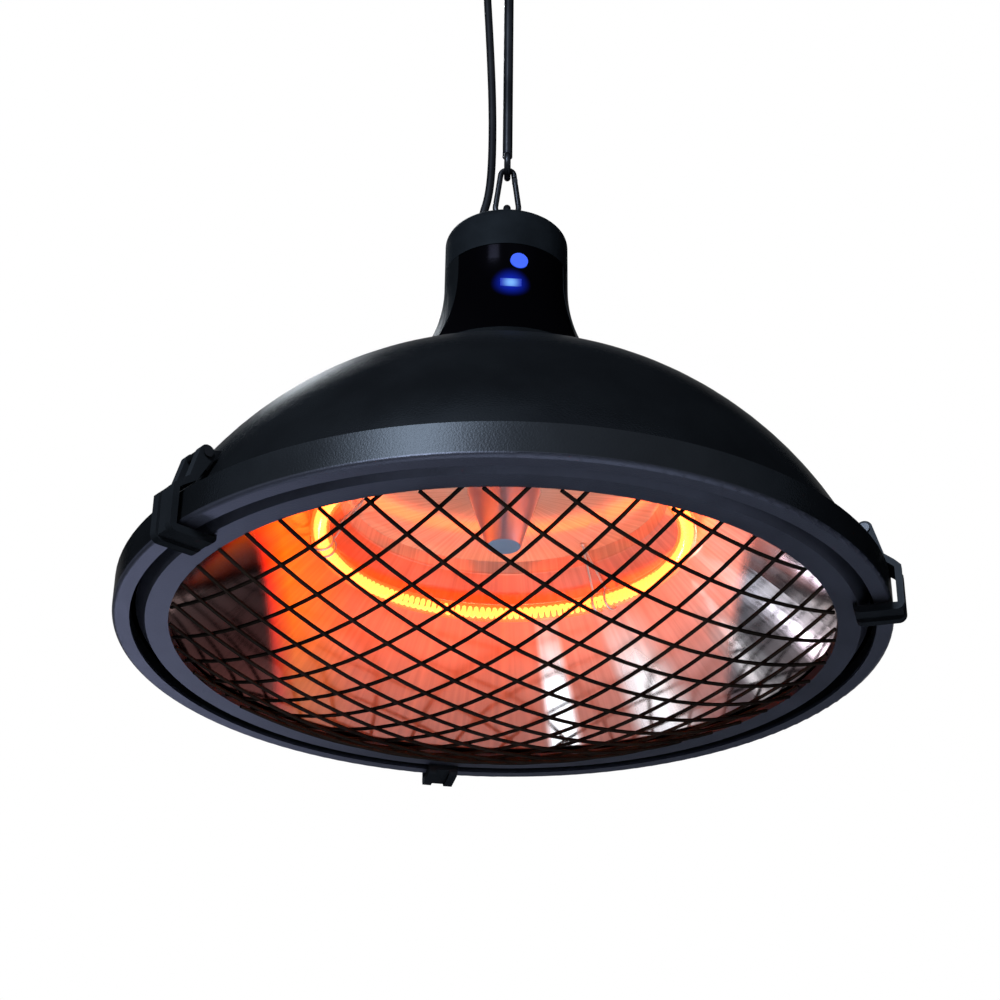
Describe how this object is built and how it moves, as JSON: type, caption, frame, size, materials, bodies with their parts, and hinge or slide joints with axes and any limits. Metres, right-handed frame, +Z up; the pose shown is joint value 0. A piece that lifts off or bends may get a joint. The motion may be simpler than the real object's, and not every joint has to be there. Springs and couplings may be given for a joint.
{
  "type": "hanging infrared heater",
  "caption": "Black domed hanging infrared heater with a glowing ring tube, conical reflector, latched wire guard, flared neck with receiver window, snap hook and ceiling rod.",
  "frame": {"origin": "middle of the ceiling plate's top face, which lies on the ceiling", "axes": "+Z up out of the ceiling plate, -Y towards the side with the receiver window, +X to the right of it"},
  "size_m": [0.4114, 0.4141, 0.5524],
  "materials": {
    "shade_paint": "satin black powder coat with a fine texture",
    "wire_paint": "black enamel on round wire",
    "latch_plastic": "black moulded plastic",
    "steel": "zinc plated",
    "black_steel": "black plated steel",
    "reflector_metal": "polished to a soft mirror",
    "cone_metal": "spun and brushed",
    "shield_metal": "mill finish",
    "quartz": "clear quartz lit by the coil",
    "coil_wire": "heating alloy glowing orange",
    "ceramic": "white glazed ceramic",
    "lead_sleeve": "woven glass sleeve",
    "neck_plastic": "black moulded housing",
    "cap_plastic": "fine textured black",
    "window_plastic": "dark tinted and glossy",
    "blue_light": "blue light pipe",
    "block_plastic": "cream moulded",
    "board_green": "lacquered board",
    "relay_plastic": "blue case",
    "gland_plastic": "black nylon",
    "cable_rubber": "black sheath"
  },
  "bodies": {
    "suspension": {"ceiling_plate": "shade_paint", "ceiling_gland": "gland_plastic", "drop_rod": "black_steel", "rod_nuts": "black_steel", "snap_hook": "black_steel", "gate_pin": "steel", "power_cable": "cable_rubber"},
    "heater": {"shade": "shade_paint", "guard_ring": "shade_paint", "guard_wires_front": "wire_paint", "guard_wires_back": "wire_paint", "latch_lugs": "shade_paint", "latch_pins": "steel", "reflector": "reflector_metal", "centre_cone": "cone_metal", "cone_nut": "steel", "quartz_tube": "quartz", "heating_coil": "coil_wire", "tube_end_caps": "ceramic", "tube_leads": "lead_sleeve", "tube_hangers": "steel", "reflector_bolts": "steel", "lower_spacers": "steel", "upper_spacers": "steel", "bolt_nuts": "steel", "heat_shield": "shield_metal", "mounting_disc": "steel", "neck_housing": "neck_plastic", "neck_screws": "steel", "neck_nuts": "steel", "receiver_window": "window_plastic", "indicator_lens": "blue_light", "indicator_bar": "blue_light", "top_cap": "cap_plastic", "terminal_block": "block_plastic", "control_board": "board_green", "board_bracket": "steel", "relay": "relay_plastic", "infrared_receiver": "window_plastic", "thermal_cutout": "steel", "eye_bolt": "black_steel", "eye_washer": "steel", "eye_nut": "steel", "cap_gland": "gland_plastic", "gland_locknut": "gland_plastic", "supply_lead": "cable_rubber"},
    "gate": {"snap_hook_gate": "black_steel"},
    "latch_left_body": {"latch_left": "latch_plastic"},
    "latch_right_body": {"latch_right": "latch_plastic"},
    "latch_rear_body": {"latch_rear": "latch_plastic"}
  },
  "joints": [
    {"name": "heater_swing", "type": "hinge", "parent": "suspension", "child": "heater", "pos_m": [0, 0, -0.22804], "axis": [0, 1, 0], "range_deg": [-15, 15], "deforming": ["power_cable"]},
    {"name": "gate_hinge", "type": "hinge", "parent": "suspension", "child": "gate", "pos_m": [0.00458, 0, -0.20621], "axis": [0, 1, 0], "range_deg": [0, 22], "stiffness_Nm_per_rad": 0.05},
    {"name": "latch_left_hinge", "type": "hinge", "parent": "heater", "child": "latch_left_body", "pos_m": [-0.14897, -0.125, -0.469], "axis": [-0.6428, 0.766, 0], "range_deg": [0, 70]},
    {"name": "latch_right_hinge", "type": "hinge", "parent": "heater", "child": "latch_right_body", "pos_m": [0.18784, -0.05033, -0.469], "axis": [-0.2588, -0.9659, 0], "range_deg": [0, 70]},
    {"name": "latch_rear_hinge", "type": "hinge", "parent": "heater", "child": "latch_rear_body", "pos_m": [-0.03711, 0.1909, -0.469], "axis": [0.9816, 0.1908, 0], "range_deg": [0, 70]}
  ]
}
